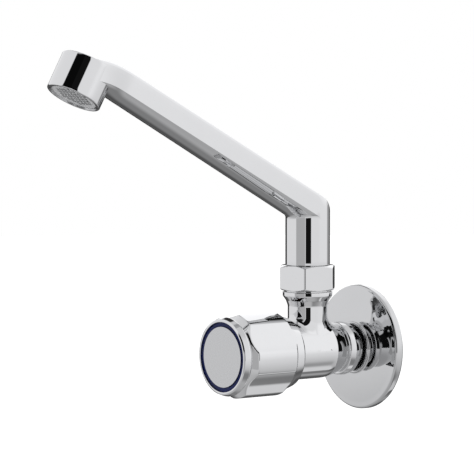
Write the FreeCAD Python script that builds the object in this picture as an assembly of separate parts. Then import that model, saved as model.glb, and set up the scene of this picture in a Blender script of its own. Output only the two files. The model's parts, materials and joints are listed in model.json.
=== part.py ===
import FreeCAD, Part
import math
import os

# Wall-mounted sink tap with a swivelling raised spout, in millimetres.
# The origin is the centre of the inlet in the wall's face.
# +Z is up, -Y comes out of the wall into the room, and +X is to the right of someone facing the wall.
# "out" is a distance from the wall's face, and "height" is a distance above the inlet's axis.

# Fits and gaps
running_gap = 0.05
seat_gap = 0.02
thread_gap = 0.05
ring_gap = 0.10
lift_gap = 0.20

# Places along the inlet's axis: the riser stands a set distance behind the knob's face
knob_face_out = 89.5
riser_behind_face = 53.5
riser_out = knob_face_out - riser_behind_face

# Inlet tail, wall flange and the body casting, whose barrel and chamber are placed from the riser
tail_length = 16.0
tail_radius = 10.48
tail_neck_radius = 10.2
inlet_bore_radius = 6.5
flange_radius = 31.0
flange_depth = 4.5
flange_sheet = 1.2
flange_dome = 2.2
flange_dome_bow = 0.3
flange_neck_root = 1.0
flange_rim_round = 1.4
flange_neck_end = 8.0
flange_neck_radius = 12.8
grip_section = 1.4
collar_start = 12.2
collar_end = 18.4
collar_radius = 13.2
collar_round = 1.4
shank_radius = 11.0
barrel_back = 7.1
barrel_front = 17.0
barrel_start = riser_out - barrel_back
barrel_end = riser_out + barrel_front
barrel_radius = 13.9
barrel_round = 2.0
neck_radius = 9.8
neck_root_round = 2.2
neck_root_low = 9.6
neck_flare_start = 20.5
neck_flare_end = 27.5
neck_top_ring_end = 29.5
neck_flare_radius = 12.15
neck_flare_middle_radius = 10.35
neck_ring_radius = 12.3
neck_thread_radius = 11.0
neck_top = 35.0
neck_passage_radius = 5.0

# Headwork: the cartridge that opens and closes the water, placed from the riser
chamber_back = 3.5
chamber_start = riser_out - chamber_back
chamber_radius = 10.3
sleeve_radius = 9.2
sleeve_wall = 0.8
sleeve_thread_front = 8.5
sleeve_shoulder_front = 7.5
sleeve_thread_start = riser_out + sleeve_thread_front
sleeve_shoulder = riser_out + sleeve_shoulder_front
seal_depth = 2.3
seal_bore_radius = 6.7
disc_depth = 2.5
disc_port_radius = 2.2
disc_port_pitch = 4.6
window_length = 4.4
window_width = 8.0
body_washer_depth = 1.0
headwork_collar_radius = 13.2
headwork_collar_depth = 1.6
headwork_hex_flats = 22.0
headwork_hex_depth = 4.5
headwork_stem_radius = 7.2
headwork_stem_front = 27.0
headwork_stem_end = riser_out + headwork_stem_front

# Spindle
spindle_radius = 5.0
spindle_driver_radius = 7.9
spindle_driver_depth = 2.5
spindle_tongue_width = 3.0
spindle_tongue_length = 9.0
spindle_tongue_depth = 1.5
spindle_groove_width = 1.9
spindle_groove_floor = 3.9
spindle_groove_front = 11.9
spindle_groove_pitch = 4.0
spindle_first_groove = riser_out + spindle_groove_front
spindle_groove_outs = (spindle_first_groove, spindle_first_groove + spindle_groove_pitch)
thrust_washer_depth = 1.1
circlip_depth = 0.9
circlip_radius = 6.6
circlip_groove_floor = 4.2
spline_front = 29.0
spline_length = 13.5
spline_start = riser_out + spline_front
spline_end = spline_start + spline_length
spline_radius = 4.0
spline_depth = 0.3
spline_teeth = 20

# Knob, measured back from its face
knob_face_radius = 17.8
knob_collar_radius = 19.5
knob_land_radius = 20.7
knob_collar_back = 3.0
knob_collar_land = 0.5
knob_groove_radius = 18.2
knob_groove_back = 4.0
knob_land_start = 7.6
knob_land_end = 30.8
knob_chamfer_angle = 50.0
knob_rear_radius = 19.2
knob_rear_end_radius = 17.3
knob_length = 38.5
knob_skirt_bore = 15.9
knob_web_back = 5.0
knob_flutes = 5
knob_flute_floor = 19.1
knob_flute_half_angle = 21.0
knob_flute_first = 30.0
knob_recess_depth = 2.2
knob_hub_radius = 8.0
knob_hub_end = 24.0
disc_radius = 14.8
disc_thickness = 1.9
index_ring_radius = 17.1
index_ring_thickness = 1.4
bush_radius = 5.6
bush_length = 13.0
screw_radius = 2.0
screw_head_radius = 3.9
screw_head_depth = 2.4
screw_length = 14.0
screw_slot_width = 1.0
screw_slot_depth = 1.2

# Swivel nut
nut_flats = 26.0
nut_corner_radius = 14.9
nut_height = 12.8
nut_web = 3.8
nut_turn = 47.0
nut_chamfer = 1.0

# Spout: riser, elbow and arm, whose bend is placed back along the arm from above the mouth
nozzle_mouth_out = 176.8
riser_radius = 11.0
riser_wall = 1.6
spigot_radius = 9.0
spigot_end_height = 19.0
plug_radius = 7.43
plug_bore_radius = 5.0
slip_ring_height = 2.1
slip_ring_radius = 10.7
slip_ring_floor = 8.0
slip_ring_gap_angle = 40.0
plug_groove_floor = 6.3
plug_groove_width = 1.9
plug_groove_heights = (23.0, 28.0)
arm_angle = 28.3
arm_top_height = 77.8
arm_half_width = 11.0
arm_side_height = 10.2
arm_root_height = 15.0
arm_tip_height = 13.6
arm_corner_round = 1.6
arm_wall = 1.6
arm_bend_before_mouth = 35.91
arm_bend_length = 23.5
arm_run = nozzle_mouth_out - riser_out
arm_bend_start = arm_run / math.cos(math.radians(arm_angle)) - arm_bend_before_mouth
arm_bend_radius = 75.0
elbow_round = 4.0
arm_reach = arm_bend_start + arm_bend_length

# Nozzle and aerator, measured up the nozzle's own axis from its mouth
nozzle_mouth_drop = 26.31
nozzle_mouth_height = arm_top_height + arm_run * math.tan(math.radians(arm_angle)) - nozzle_mouth_drop
nozzle_tilt = 29.5
nozzle_radius = 13.4
nozzle_length = 18.8
nozzle_round = 1.4
aerator_radius = 12.2
aerator_inset = 0.4
aerator_length = 9.0
aerator_ring_wall = 0.9
aerator_core_length = 4.0
aerator_cell_radius = 1.15
aerator_cell_pitch = 2.7
aerator_cell_rings = 3
aerator_screen_thickness = 0.4
aerator_screen_hole = 0.9
aerator_screen_pitch = 2.4
aerator_washer_depth = 1.5
aerator_washer_bore = 9.5
nozzle_top_wall = 2.4

ROOM = FreeCAD.Vector(0, -1, 0)
UP = FreeCAD.Vector(0, 0, 1)
RIGHT = FreeCAD.Vector(1, 0, 0)


class Axis:
    """A line that turned pieces are built round, with a side direction that profiles are drawn in."""

    def __init__(self, base, along, side):
        self.base = base
        self.along = along
        self.side = side
        self.across = along.cross(side)

    def point(self, along, radius, angle=0.0):
        """The point at a distance along the axis, a radius and an angle in degrees from the side."""
        turn = math.radians(angle)
        swing = self.side * (radius * math.cos(turn)) + self.across * (radius * math.sin(turn))
        return self.base + self.along * along + swing


def wire_of(points):
    """A closed wire through corners; a pair of points is an arc through the first to the second."""
    ends = [p[1] if isinstance(p, tuple) else p for p in points]
    edges = []
    for index, entry in enumerate(points):
        start = ends[index - 1]
        if isinstance(entry, tuple):
            edges.append(Part.Arc(start, entry[0], entry[1]).toShape())
        else:
            edges.append(Part.LineSegment(start, entry).toShape())
    return Part.Wire(edges)


def turned(axis, profile):
    """A full turn of a profile of (along, radius) corners, where ((a, r), (a, r)) is an arc."""
    points = []
    for entry in profile:
        if isinstance(entry[0], tuple):
            points.append((axis.point(*entry[0]), axis.point(*entry[1])))
        else:
            points.append(axis.point(*entry))
    return Part.Face(wire_of(points)).revolve(axis.base, axis.along, 360)


def ring(axis, start, end, inner, outer):
    """A plain ring from start to end along the axis."""
    return turned(axis, [(start, inner), (end, inner), (end, outer), (start, outer)])


def rod(axis, start, end, radius):
    """A plain round bar from start to end along the axis."""
    return Part.makeCylinder(radius, end - start, axis.point(start, 0), axis.along)


def o_ring(axis, along, inner, outer):
    """A round-section ring that fills the space between two radii."""
    return Part.makeTorus((inner + outer) / 2, (outer - inner) / 2, axis.point(along, 0), axis.along)


def prism(axis, start, end, corners):
    """A straight prism over a polygon of (radius, angle) corners."""
    points = [axis.point(start, radius, angle) for radius, angle in corners]
    face = Part.Face(Part.makePolygon(points + points[:1]))
    return face.extrude(axis.along * (end - start))


def hexagon(axis, start, end, flats, turn=0.0):
    """A six-sided bar with one corner at the given angle."""
    corner = flats / 2 / math.cos(math.pi / 6)
    return prism(axis, start, end, [(corner, turn + 60 * k) for k in range(6)])


def splines(axis, start, end, outer, depth, teeth):
    """A bar with triangular teeth all round."""
    corners = []
    for k in range(2 * teeth):
        corners.append((outer if k % 2 == 0 else outer - depth, 180.0 * k / teeth))
    return prism(axis, start, end, corners)


def box_on(axis, start, end, length, width):
    """A rectangular bar centred on the axis, long in the side direction."""
    corners = []
    for side, across in ((1, 1), (-1, 1), (-1, -1), (1, -1)):
        x = side * length / 2
        y = across * width / 2
        corners.append((math.hypot(x, y), math.degrees(math.atan2(y, x))))
    return prism(axis, start, end, corners)


def split_ring(axis, start, end, inner, outer, gap_angle):
    """A flat ring with a gap, such as a circlip."""
    wedge = [(0.0, 0.0), (2 * outer, -gap_angle / 2), (2 * outer, gap_angle / 2)]
    return ring(axis, start, end, inner, outer).cut(prism(axis, start - 1, end + 1, wedge))


def joined(first, *others):
    """One solid out of several that share volume."""
    return first.multiFuse(list(others)).removeSplitter()


def rounded_where(shape, radius, test):
    """Rounds the edges that pass a test."""
    return shape.makeFillet(radius, [edge for edge in shape.Edges if test(edge)])


inlet = Axis(FreeCAD.Vector(0, 0, 0), ROOM, UP)
riser = Axis(ROOM * riser_out, UP, RIGHT)
knob = Axis(ROOM * knob_face_out, ROOM * -1, UP)

slope = math.radians(arm_angle)
arm_along = ROOM * math.cos(slope) + UP * math.sin(slope)
arm_up = UP * math.cos(slope) - ROOM * math.sin(slope)
arm_root = riser.point(arm_top_height, 0)
lean = math.radians(nozzle_tilt)
nozzle_up = UP * math.cos(lean) - ROOM * math.sin(lean)
nozzle = Axis(ROOM * nozzle_mouth_out + UP * nozzle_mouth_height, nozzle_up, RIGHT)


# Wall flange and its grip ring

def wall_flange():
    """A pressed cover: slightly domed face, rolled rim to the wall and a short neck round the tail."""
    inside = flange_neck_radius - flange_sheet
    depth = flange_depth
    curl = flange_rim_round
    curl_mid = curl * (1 - math.sqrt(0.5))
    outer = flange_radius
    under = flange_radius - flange_sheet
    lift = depth + flange_dome
    root = flange_neck_root
    root_mid = root * (1 - math.sqrt(0.5))
    face_end = flange_neck_radius + root
    face_mid = depth + flange_dome / 2 + flange_dome_bow
    fold = under - curl + flange_sheet
    profile = [
        (0, under),
        (0, outer),
        (depth - curl, outer),
        ((depth - curl_mid, outer - curl_mid), (depth, outer - curl)),
        ((face_mid, (outer - curl + face_end) / 2), (lift, face_end)),
        ((lift + root_mid, flange_neck_radius + root_mid), (lift + root, flange_neck_radius)),
        (flange_neck_end, flange_neck_radius),
        (flange_neck_end, inside),
        (lift - flange_sheet, inside),
        ((face_mid - flange_sheet, (inside + fold) / 2), (depth - flange_sheet, fold)),
        (depth - curl, under),
    ]
    return turned(inlet, profile)


def flange_grip_ring():
    """A rubber ring that holds the flange on the tail."""
    middle = flange_neck_end - 1.5 * grip_section
    inside = tail_neck_radius + seat_gap
    outside = flange_neck_radius - flange_sheet - seat_gap
    return o_ring(inlet, middle, inside, outside)


# Body casting

def column_profile():
    """The neck's outline: plain, flared to a ring, then reduced for the nut's thread."""
    rise_mid = (neck_flare_start + neck_flare_end) / 2
    return [
        (0, 0),
        (0, neck_radius),
        (neck_flare_start, neck_radius),
        ((rise_mid, neck_flare_middle_radius), (neck_flare_end, neck_flare_radius)),
        (neck_flare_end + 0.3, neck_ring_radius),
        (neck_top_ring_end, neck_ring_radius),
        (neck_top_ring_end, neck_thread_radius),
        (neck_top, neck_thread_radius),
        (neck_top, 0),
    ]


def is_root(edge):
    """True for the outside curve where the neck meets the barrel."""
    box = edge.BoundBox
    outside = max(abs(box.XMin), abs(box.XMax)) > plug_radius + 1
    return edge.Curve.TypeId == "Part::GeomBSplineCurve" and outside and neck_root_low < box.ZMin < barrel_radius


def round_end(start, radius, size):
    """Corners of an outward rounded shoulder at the start of a bar."""
    mid = size * (1 - math.sqrt(0.5))
    return [(start, radius - size), ((start + mid, radius - mid), (start + size, radius))]


def body_outside():
    """The outside of the casting before it is bored."""
    soft = collar_round
    mid = soft * (1 - math.sqrt(0.5))
    bar = turned(inlet, [
        (-tail_length, 0),
        (-tail_length, tail_radius - 1.0),
        (-tail_length + 1.0, tail_radius),
        (0, tail_radius),
        (0, tail_neck_radius),
        (collar_start, tail_neck_radius),
        *round_end(collar_start, collar_radius, soft),
        (collar_end - soft, collar_radius),
        ((collar_end - mid, collar_radius - mid), (collar_end, collar_radius - soft)),
        (collar_end, shank_radius),
        (barrel_start, shank_radius),
        *round_end(barrel_start, barrel_radius, barrel_round),
        (barrel_end, barrel_radius),
        (barrel_end, 0),
    ])
    return joined(bar, turned(riser, column_profile()))


def valve_body():
    """The tee casting: inlet tail, collar, barrel for the headwork and neck for the spout."""
    plug_hole = plug_radius + running_gap
    tools = [
        rod(inlet, -tail_length - 1, chamber_start + 1, inlet_bore_radius),
        rod(inlet, chamber_start, barrel_end + 1, chamber_radius),
        rod(riser, chamber_radius - 0.8, neck_top + 1, neck_passage_radius),
        rod(riser, spigot_end_height - 1, neck_top + 1, plug_hole),
    ]
    return rounded_where(body_outside().cut(tools), neck_root_round, is_root)


# Headwork

seal_end = chamber_start + seal_depth
fixed_end = seal_end + disc_depth
moving_end = fixed_end + disc_depth
driver_end = moving_end + spindle_driver_depth
washer_end = barrel_end + body_washer_depth
collar_top = washer_end + headwork_collar_depth
hex_end = collar_top + headwork_hex_depth
sleeve_bore = sleeve_radius - sleeve_wall
spindle_hole = spindle_radius + running_gap


def headwork_body():
    """The brass cartridge body: ported sleeve, thread, hexagon and stem guide."""
    solid = joined(
        rod(inlet, chamber_start + 0.5, sleeve_thread_start + 0.5, sleeve_radius),
        rod(inlet, sleeve_thread_start, washer_end + 0.5, chamber_radius - thread_gap),
        rod(inlet, washer_end, collar_top, headwork_collar_radius),
        hexagon(inlet, collar_top - 0.2, hex_end, headwork_hex_flats),
        rod(inlet, hex_end - 0.2, headwork_stem_end, headwork_stem_radius),
    )
    window_start = fixed_end + 1.0
    window_end = window_start + window_length
    tools = [
        rod(inlet, chamber_start, sleeve_shoulder, sleeve_bore),
        rod(inlet, sleeve_shoulder - 1, headwork_stem_end + 1, spindle_hole),
        box_on(inlet, window_start, window_end, 4 * sleeve_radius, window_width),
    ]
    return solid.cut(tools)


def seat_seal():
    """The rubber ring between the seat in the body and the fixed disc."""
    return ring(inlet, chamber_start, seal_end, seal_bore_radius, sleeve_bore - seat_gap)


def disc_ports(start, end):
    """The two round waterways of a ceramic disc."""
    ports = []
    for side in (-1, 1):
        axis = Axis(inlet.base + inlet.side * (side * disc_port_pitch), inlet.along, inlet.side)
        ports.append(rod(axis, start - 1, end + 1, disc_port_radius))
    return ports


def fixed_disc():
    """The ceramic disc that stays still."""
    disc = rod(inlet, seal_end, fixed_end, sleeve_bore - seat_gap)
    keys = disc_ports(seal_end, fixed_end)
    return disc.cut(keys)


def moving_disc():
    """The ceramic disc that turns with the spindle, closed a quarter turn from the ports."""
    disc = rod(inlet, fixed_end, moving_end, sleeve_bore - running_gap)
    slot_length = spindle_tongue_length + 2 * seat_gap
    slot_width = spindle_tongue_width + 2 * seat_gap
    slot = box_on(inlet, moving_end - spindle_tongue_depth - seat_gap, moving_end + 1, slot_length, slot_width)
    ports = disc_ports(fixed_end, moving_end)
    for port in ports:
        port.rotate(inlet.base, inlet.along, 90)
    return disc.cut(ports + [slot])


def headwork_washer():
    """The fibre washer under the headwork's collar."""
    return ring(inlet, barrel_end, washer_end, chamber_radius + 0.1, headwork_collar_radius - 0.2)


# Spindle and what turns with it

circlip_start = headwork_stem_end + ring_gap
circlip_end = circlip_start + circlip_depth


def spindle():
    """The brass spindle: tongue, driver, sealed shaft, circlip groove, splines and screw hole."""
    shaft = [
        rod(inlet, moving_end, driver_end, spindle_driver_radius),
        box_on(inlet, moving_end - spindle_tongue_depth, moving_end + 0.2, spindle_tongue_length,
               spindle_tongue_width),
        rod(inlet, driver_end - 0.2, spline_start, spindle_radius),
    ]
    tip = splines(inlet, spline_start - 0.2, spline_end, spline_radius, spline_depth, spline_teeth)
    tools = [rod(inlet, spline_end - screw_length + 2.0, spline_end + 1, screw_radius + seat_gap)]
    for middle in spindle_groove_outs:
        half = spindle_groove_width / 2
        tools.append(ring(inlet, middle - half, middle + half, spindle_groove_floor, spindle_radius + 1))
    clip_room = 0.05
    tools.append(ring(inlet, circlip_start - clip_room, circlip_end + clip_room, circlip_groove_floor,
                      spindle_radius + 1))
    return joined(tip, *shaft).cut(tools)


def spindle_o_rings():
    """The two rubber rings in the spindle's grooves."""
    inner = spindle_groove_floor + seat_gap
    outer = spindle_hole - seat_gap
    return Part.makeCompound([o_ring(inlet, middle, inner, outer) for middle in spindle_groove_outs])


def thrust_washer():
    """The slippery washer between the driver and the headwork's shoulder."""
    start = driver_end + (sleeve_shoulder - driver_end - thrust_washer_depth) / 2
    inner = spindle_radius + ring_gap
    return ring(inlet, start, start + thrust_washer_depth, inner, sleeve_bore - ring_gap)


def spindle_circlip():
    """The clip that keeps the spindle in the headwork."""
    inner = circlip_groove_floor + seat_gap
    return split_ring(inlet, circlip_start, circlip_end, inner, circlip_radius, 50)


# Knob

def knob_outside():
    """The turned outside of the knob with its flutes cut."""
    rise = knob_land_radius - knob_groove_radius
    ramp = rise / math.tan(math.radians(knob_chamfer_angle))
    rear_drop = (knob_land_radius - knob_rear_radius) / math.tan(math.radians(knob_chamfer_angle))
    bulge = (0.3 * knob_collar_back, knob_face_radius + 0.55 * (knob_collar_radius - knob_face_radius))
    profile = [
        (0, 0),
        (0, knob_face_radius),
        (bulge, (knob_collar_back, knob_collar_radius)),
        (knob_collar_back + knob_collar_land, knob_collar_radius),
        (knob_groove_back, knob_groove_radius),
        (knob_land_start - ramp, knob_groove_radius),
        (knob_land_start, knob_land_radius),
        (knob_land_end, knob_land_radius),
        (knob_land_end + rear_drop, knob_rear_radius),
        (knob_length, knob_rear_end_radius),
        (knob_length, 0),
    ]
    solid = turned(knob, profile)
    half_chord = knob_land_radius * math.sin(math.radians(knob_flute_half_angle))
    chord_out = knob_land_radius * math.cos(math.radians(knob_flute_half_angle))
    sag = chord_out - knob_flute_floor
    cutter_radius = (half_chord ** 2 + sag ** 2) / (2 * sag)
    cutters = []
    for k in range(knob_flutes):
        angle = knob_flute_first + 360.0 * k / knob_flutes
        centre = knob_point(0, knob_flute_floor + cutter_radius, angle)
        axis = Axis(centre, knob.along, knob.side)
        cutters.append(rod(axis, knob_groove_back, knob_length + 1, cutter_radius))
    return solid.cut(cutters)


def knob_point(back, radius, angle):
    """A point behind the knob's face, at an angle from +X towards +Z."""
    turn = math.radians(angle)
    return knob.point(back, 0) + RIGHT * (radius * math.cos(turn)) + UP * (radius * math.sin(turn))


hub_hole = bush_radius + seat_gap
bush_back_start = knob_face_out - spline_end - 0.5


def knob_shell():
    """The hollow chromed knob with its hub and the recess for the face."""
    screw_seat = knob_recess_depth + screw_head_depth + 0.4
    cavity = ring(knob, screw_seat + knob_web_back - 3.0, knob_length + 1, knob_hub_radius, knob_skirt_bore)
    below_hub = rod(knob, knob_hub_end, knob_length + 1, knob_hub_radius + 1)
    tools = [
        cavity,
        below_hub,
        rod(knob, -1, knob_recess_depth, index_ring_radius),
        rod(knob, knob_recess_depth - 1, screw_seat, screw_head_radius + ring_gap),
        rod(knob, screw_seat - 1, knob_hub_end + 1, screw_radius + ring_gap),
        rod(knob, bush_back_start, knob_hub_end + 1, hub_hole),
    ]
    return knob_outside().cut(tools)


def spline_bush():
    """The plastic bush that carries the knob on the spindle's splines."""
    bush = rod(knob, bush_back_start, bush_back_start + bush_length, bush_radius)
    teeth = splines(knob, bush_back_start - 1, bush_back_start + bush_length + 1, spline_radius + seat_gap,
                    spline_depth, spline_teeth)
    return bush.cut(teeth)


def knob_screw():
    """The slotted screw that holds the knob to the spindle."""
    seat = knob_recess_depth + screw_head_depth + 0.4
    head = rod(knob, seat - screw_head_depth, seat, screw_head_radius)
    shank = rod(knob, seat - 0.2, seat + screw_length, screw_radius)
    slot = box_on(knob, seat - screw_head_depth - 1, seat - screw_head_depth + screw_slot_depth,
                  3 * screw_head_radius, screw_slot_width)
    return joined(head, shank).cut(slot)


def face_disc():
    """The satin disc in the knob's face."""
    return rod(knob, knob_recess_depth - disc_thickness, knob_recess_depth, disc_radius - seat_gap)


def index_ring():
    """The blue ring round the disc that marks cold water."""
    return ring(knob, knob_recess_depth - index_ring_thickness, knob_recess_depth, disc_radius,
                index_ring_radius - seat_gap)


# Swivel nut

nut_bottom = neck_top_ring_end + lift_gap
nut_top = nut_bottom + nut_height
nut_web_bottom = nut_top - nut_web


def swivel_nut():
    """The hexagon nut that traps the spout's slip ring on the neck."""
    body = hexagon(riser, nut_bottom, nut_top, nut_flats, nut_turn - 90)
    mask = turned(riser, [
        (nut_bottom, 0),
        (nut_bottom, nut_flats / 2 - 0.2),
        (nut_bottom + nut_chamfer, nut_corner_radius),
        (nut_top - nut_chamfer, nut_corner_radius),
        (nut_top, nut_flats / 2 - 0.2),
        (nut_top, 0),
    ])
    bores = [
        rod(riser, nut_bottom - 1, nut_web_bottom, neck_thread_radius + thread_gap),
        rod(riser, nut_web_bottom - 1, nut_top + 1, spigot_radius + running_gap),
    ]
    return body.common(mask).cut(bores)


# Spout

def arm_point(along, across, up):
    """A point in the arm's own frame, from the riser's axis at the arm's top."""
    return arm_root + arm_along * along + RIGHT * across + arm_up * up


def bent(along, across, up):
    """The arm's frame with its end bent down about a line below it."""
    if along <= arm_bend_start:
        return arm_point(along, across, up)
    turn = (along - arm_bend_start) / arm_bend_radius
    reach = arm_bend_radius + up
    return arm_point(arm_bend_start + reach * math.sin(turn), across, reach * math.cos(turn) - arm_bend_radius)


def arm_section(along, half_width, wall):
    """The arm's cross-section: flat top, upright sides and a curved underside."""
    wide = half_width - wall
    top = -wall
    side = -arm_side_height
    share = min(along / arm_bend_start, 1.0)
    low = wall - arm_root_height - (arm_tip_height - arm_root_height) * share
    soft = max(arm_corner_round - 0.6 * wall, 0.4)
    soft_mid = soft * (1 - math.sqrt(0.5))
    spot = [bent(along, across, up) for across, up in (
        (wide - soft, top),
        (wide - soft_mid, top - soft_mid),
        (wide, top - soft),
        (wide, side),
        (0, low),
        (-wide, side),
        (-wide, top - soft),
        (-wide + soft_mid, top - soft_mid),
        (-wide + soft, top),
    )]
    return wire_of([spot[0], (spot[1], spot[2]), spot[3], (spot[4], spot[5]), spot[6], (spot[7], spot[8])])


def arm_solid(wall):
    """The arm from the riser's axis to the nozzle's axis, drawn in by a wall for its hollow."""
    ends = [arm_section(along, arm_half_width, wall) for along in (0.0, arm_bend_start)]
    straight = Part.makeLoft(ends, True, True)
    end = arm_reach - 0.5
    wires = []
    for share in (0.0, 0.25, 0.5, 0.75, 1.0):
        grown = arm_half_width + (nozzle_radius - 0.3 - arm_half_width) * share ** 2 * (3 - 2 * share)
        wires.append(arm_section(arm_bend_start + (end - arm_bend_start) * share, grown, wall))
    front = Part.makeLoft(wires, True, False)
    return joined(straight, front)


def riser_solid(radius, wall, start):
    """The riser up to the arm's sloping top."""
    bar = rod(riser, start, arm_top_height + riser_radius, radius)
    reach = 3 * riser_radius
    corners = [arm_point(s, w, -wall) for s, w in ((-reach, -reach), (reach, -reach), (reach, reach), (-reach, reach))]
    above = Part.Face(Part.makePolygon(corners + corners[:1])).extrude(arm_up * reach)
    return bar.cut(above)


def elbow_edge(edge):
    """True for the sloping edge at the riser's top."""
    box = edge.BoundBox
    return box.ZMin > neck_top + 20 and box.ZMax - box.ZMin > 5 and box.XMax - box.XMin > 5


def spout_outside():
    """Riser, arm and nozzle as one solid form."""
    top = nozzle_length
    soft_mid = nozzle_round * (1 - math.sqrt(0.5))
    head = turned(nozzle, [
        (0, 0),
        (0, nozzle_radius - 0.4),
        (0.4, nozzle_radius),
        (top - nozzle_round, nozzle_radius),
        ((top - soft_mid, nozzle_radius - soft_mid), (top, nozzle_radius - nozzle_round)),
        (top, 0),
    ])
    column = rounded_where(riser_solid(riser_radius, 0.0, nut_top + lift_gap), elbow_round, elbow_edge)
    lower = turned(riser, [
        (spigot_end_height, 0),
        (spigot_end_height, plug_radius - 0.5),
        (spigot_end_height + 0.5, plug_radius),
        (neck_top + lift_gap, plug_radius),
        (neck_top + lift_gap, spigot_radius),
        (nut_top + lift_gap + 1, spigot_radius),
        (nut_top + lift_gap + 1, 0),
    ])
    return joined(column, arm_solid(0.0), head, lower)


slip_ring_start = nut_web_bottom - ring_gap - slip_ring_height


def spout_tube():
    """The hollow spout: plug with grooves, riser, arm and nozzle."""
    bore = riser_radius - riser_wall
    bore_start = nut_top + 6
    waterway = joined(
        rod(riser, spigot_end_height - 1, bore_start + 1, plug_bore_radius),
        riser_solid(bore, arm_wall, bore_start),
        arm_solid(arm_wall),
        rod(nozzle, aerator_length + aerator_washer_depth - 1, nozzle_length - nozzle_top_wall, aerator_washer_bore),
    )
    tools = [waterway, rod(nozzle, -1, aerator_inset + aerator_length + aerator_washer_depth, aerator_radius)]
    for middle in plug_groove_heights:
        half = plug_groove_width / 2
        tools.append(ring(riser, middle - half, middle + half, plug_groove_floor, plug_radius + 1))
    room = 0.05
    tools.append(ring(riser, slip_ring_start - room, slip_ring_start + slip_ring_height + room, slip_ring_floor,
                      spigot_radius + 1))
    return spout_outside().cut(tools)


def slip_ring():
    """The split plastic ring that holds the spout under the nut's web."""
    inner = slip_ring_floor + seat_gap
    end = slip_ring_start + slip_ring_height
    return split_ring(riser, slip_ring_start, end, inner, slip_ring_radius, slip_ring_gap_angle)


def spout_o_rings():
    """The two rubber rings that seal the spout's plug in the neck."""
    inner = plug_groove_floor + seat_gap
    outer = plug_radius + running_gap - seat_gap
    return Part.makeCompound([o_ring(riser, middle, inner, outer) for middle in plug_groove_heights])


# Aerator

housing_start = aerator_inset
housing_end = aerator_inset + aerator_length
core_radius = aerator_radius - seat_gap - aerator_ring_wall


def aerator_housing():
    """The ring that screws into the nozzle and carries the insert."""
    tube = ring(nozzle, housing_start, housing_end, core_radius, aerator_radius - seat_gap)
    lip = ring(nozzle, housing_end - 0.8, housing_end, core_radius - 1.2, core_radius + 0.2)
    return joined(tube, lip)


def cell_spots(pitch, rings):
    """Centres of a honeycomb of cells, as (side, across) pairs."""
    spots = []
    for row in range(-rings, rings + 1):
        for column in range(-rings, rings + 1):
            if abs(row + column) <= rings:
                spots.append((pitch * (column + row / 2), pitch * row * math.sqrt(0.75)))
    return spots


def aerator_core():
    """The plastic insert with a honeycomb of passages."""
    start = housing_start + 0.4
    body = rod(nozzle, start, start + aerator_core_length, core_radius - seat_gap)
    cells = []
    for x, y in cell_spots(aerator_cell_pitch, aerator_cell_rings):
        spot = Axis(nozzle.base + nozzle.side * x + nozzle.across * y, nozzle.along, nozzle.side)
        cells.append(hexagon(spot, start - 1, start + aerator_core_length + 1, 2 * aerator_cell_radius, 30))
    return body.cut(cells)


def aerator_screen():
    """The fine strainer above the insert."""
    start = housing_start + 0.4 + aerator_core_length
    body = rod(nozzle, start, start + aerator_screen_thickness, core_radius - seat_gap)
    holes = []
    for x, y in cell_spots(aerator_screen_pitch, 3):
        spot = Axis(nozzle.base + nozzle.side * x + nozzle.across * y, nozzle.along, nozzle.side)
        holes.append(rod(spot, start - 1, start + 2, aerator_screen_hole))
    return body.cut(holes)


def aerator_washer():
    """The rubber washer between the housing and the nozzle's ledge."""
    return ring(nozzle, housing_end, housing_end + aerator_washer_depth, aerator_washer_bore,
                aerator_radius - 2 * seat_gap)


NODES = {
    "wall_flange": wall_flange,
    "flange_grip_ring": flange_grip_ring,
    "valve_body": valve_body,
    "headwork_body": headwork_body,
    "headwork_washer": headwork_washer,
    "seat_seal": seat_seal,
    "fixed_disc": fixed_disc,
    "moving_disc": moving_disc,
    "spindle": spindle,
    "spindle_o_rings": spindle_o_rings,
    "thrust_washer": thrust_washer,
    "spindle_circlip": spindle_circlip,
    "knob_shell": knob_shell,
    "spline_bush": spline_bush,
    "knob_screw": knob_screw,
    "face_disc": face_disc,
    "index_ring": index_ring,
    "swivel_nut": swivel_nut,
    "spout_tube": spout_tube,
    "slip_ring": slip_ring,
    "spout_o_rings": spout_o_rings,
    "aerator_housing": aerator_housing,
    "aerator_core": aerator_core,
    "aerator_screen": aerator_screen,
    "aerator_washer": aerator_washer,
}


def main():
    """Builds every node and writes it to its own file."""
    os.makedirs("parts", exist_ok=True)
    for name, build in NODES.items():
        shape = build()
        shape.exportStep(os.path.join("parts", name + ".step"))
        box = shape.BoundBox
        print(f"{name}: {len(shape.Solids)} solid, valid {shape.isValid()}, {shape.Volume:.0f} mm3, "
              f"x {box.XMin:.1f}..{box.XMax:.1f} y {box.YMin:.1f}..{box.YMax:.1f} z {box.ZMin:.1f}..{box.ZMax:.1f}")


main()
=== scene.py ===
"""Studio scene of a wall-mounted sink tap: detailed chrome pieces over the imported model."""
import json
import logging
import math
from dataclasses import dataclass, field
from enum import Enum

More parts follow.
